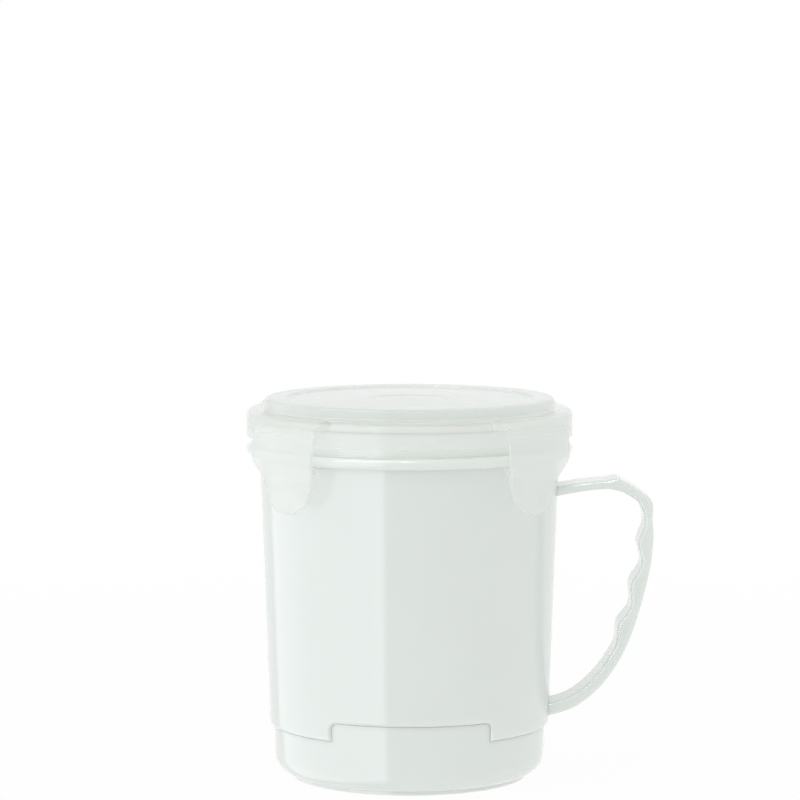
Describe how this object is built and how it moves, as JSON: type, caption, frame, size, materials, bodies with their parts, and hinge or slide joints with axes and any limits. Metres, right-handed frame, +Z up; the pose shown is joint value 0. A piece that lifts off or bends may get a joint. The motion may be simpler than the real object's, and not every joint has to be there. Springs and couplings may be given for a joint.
{
  "type": "soup mug",
  "caption": "Double-walled soup mug with a tapered sleeve, a keyed base cap, a finger-grip side handle and a translucent sealed lid held down by hinged locking flaps.",
  "frame": {"origin": "centre of the foot ring, on the surface that the mug stands on", "axes": "+Z up along the mug's axis, +X towards the handle, -Y towards the viewer"},
  "size_m": [0.1352, 0.1082, 0.1269],
  "materials": {
    "white_plastic": "glossy white polypropylene",
    "clear_plastic": "translucent natural polypropylene",
    "seal_silicone": "milky silicone"
  },
  "bodies": {
    "mug": {"inner_cup": "white_plastic", "outer_sleeve": "white_plastic", "base_cap": "white_plastic", "handle": "white_plastic"},
    "lid": {"lid": "clear_plastic", "lid_gasket": "seal_silicone"},
    "front_left_flap": {"front_left_flap": "clear_plastic"},
    "front_right_flap": {"front_right_flap": "clear_plastic"},
    "back_left_flap": {"back_left_flap": "clear_plastic"},
    "back_right_flap": {"back_right_flap": "clear_plastic"}
  },
  "joints": [
    {"name": "lid_lift", "type": "slide", "parent": "mug", "child": "lid", "axis": [0, 0, 1], "range_m": [0, 0.025]},
    {"name": "front_left_flap_hinge", "type": "hinge", "parent": "lid", "child": "front_left_flap", "pos_m": [-0.04105, -0.04105, 0.1193], "axis": [-0.7071, 0.7071, 0], "range_deg": [0, 110]},
    {"name": "front_right_flap_hinge", "type": "hinge", "parent": "lid", "child": "front_right_flap", "pos_m": [0.04105, -0.04105, 0.1193], "axis": [-0.7071, -0.7071, 0], "range_deg": [0, 110]},
    {"name": "back_left_flap_hinge", "type": "hinge", "parent": "lid", "child": "back_left_flap", "pos_m": [-0.04105, 0.04105, 0.1193], "axis": [0.7071, 0.7071, 0], "range_deg": [0, 110]},
    {"name": "back_right_flap_hinge", "type": "hinge", "parent": "lid", "child": "back_right_flap", "pos_m": [0.04105, 0.04105, 0.1193], "axis": [0.7071, -0.7071, 0], "range_deg": [0, 110]}
  ],
  "couplings": [
    {"joint": "front_left_flap_hinge", "follows": "lid_lift", "rad_per_m": 76.79},
    {"joint": "front_right_flap_hinge", "follows": "lid_lift", "rad_per_m": 76.79},
    {"joint": "back_left_flap_hinge", "follows": "lid_lift", "rad_per_m": 76.79},
    {"joint": "back_right_flap_hinge", "follows": "lid_lift", "rad_per_m": 76.79}
  ]
}
